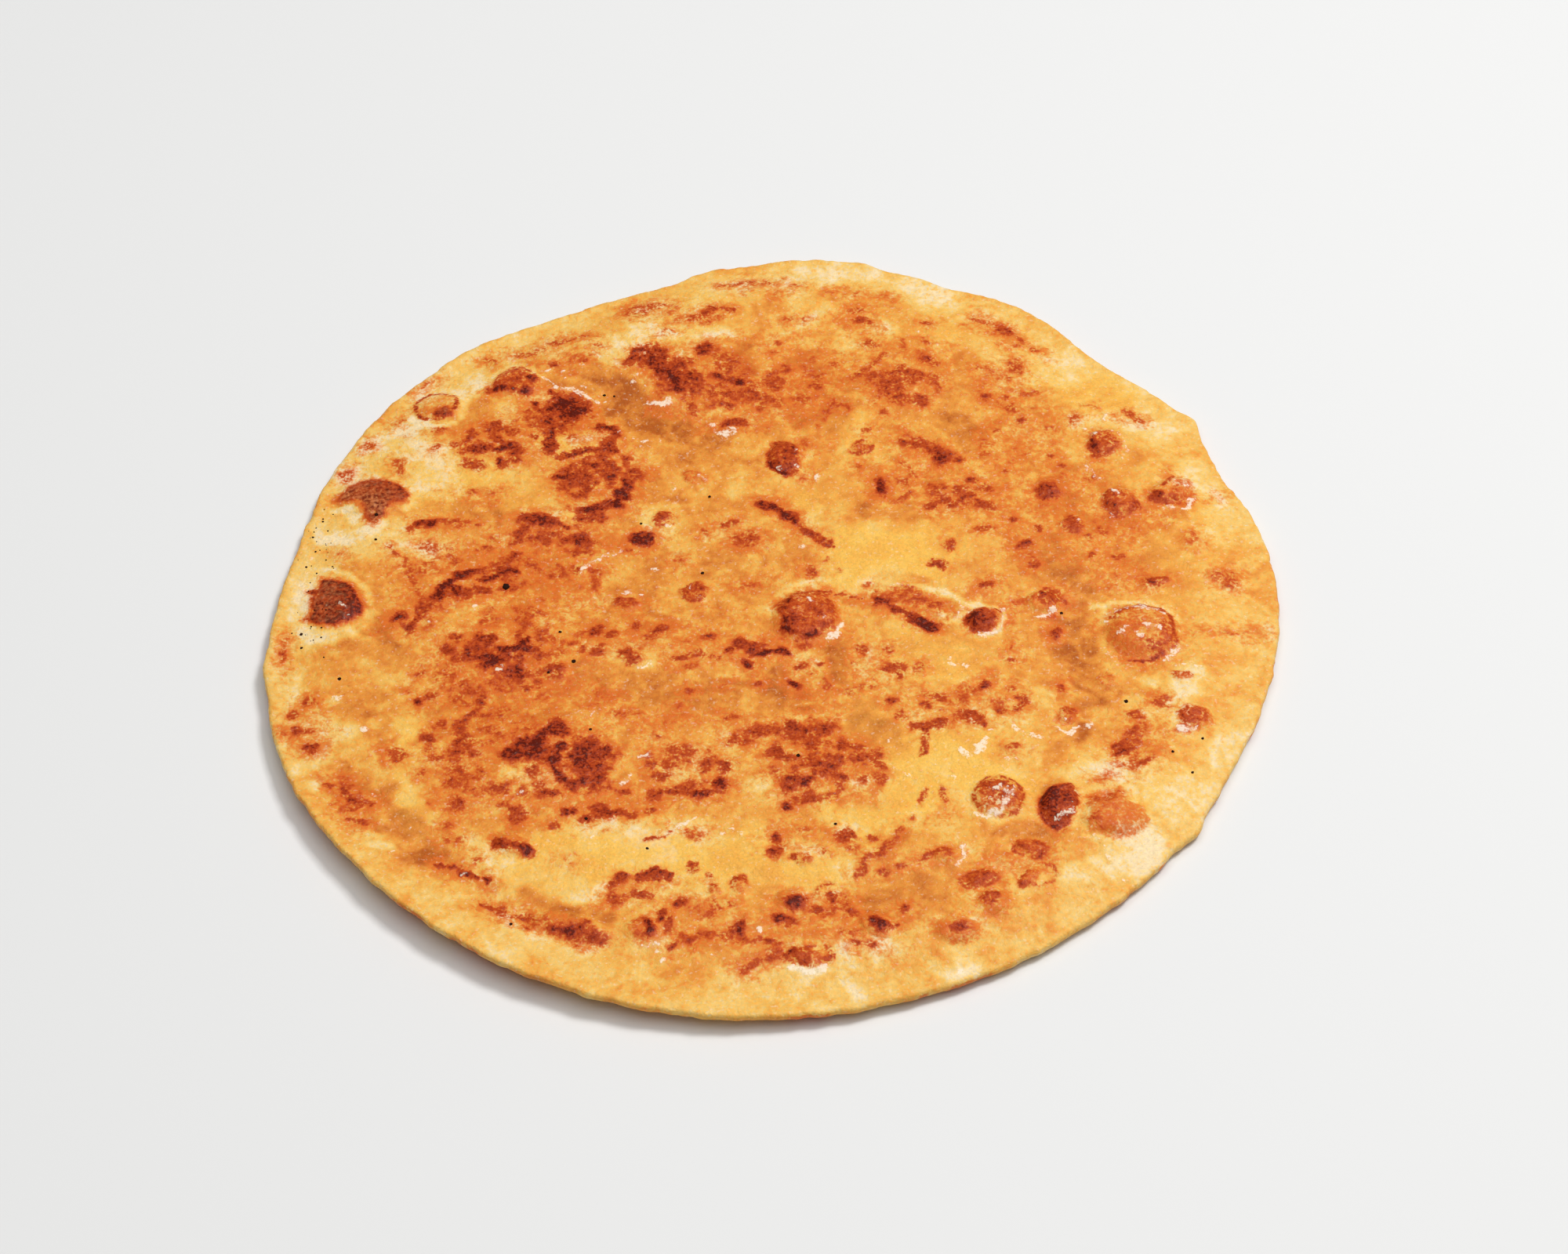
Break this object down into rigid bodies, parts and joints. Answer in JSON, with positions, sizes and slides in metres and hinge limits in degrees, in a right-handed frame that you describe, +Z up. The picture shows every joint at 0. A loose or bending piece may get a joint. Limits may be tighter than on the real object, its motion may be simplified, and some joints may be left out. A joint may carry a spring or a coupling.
{
  "type": "puran poli",
  "caption": "Round thin stuffed flatbread with a gently uneven toasted top, low blisters, a thin ragged edge and one margin that curls up a little.",
  "frame": {"origin": "on the floor under the middle of the bread's own box", "axes": "+Z up out of the toasted face, +Y away from the viewer of the picture, +X to that viewer's right"},
  "size_m": [0.1936, 0.1926, 0.006],
  "materials": {
    "crust": "soft toasted wheat skin with a thin film of ghee, golden yellow with orange-brown spots"
  },
  "bodies": {
    "root": {"puran_poli": "crust"}
  },
  "joints": []
}
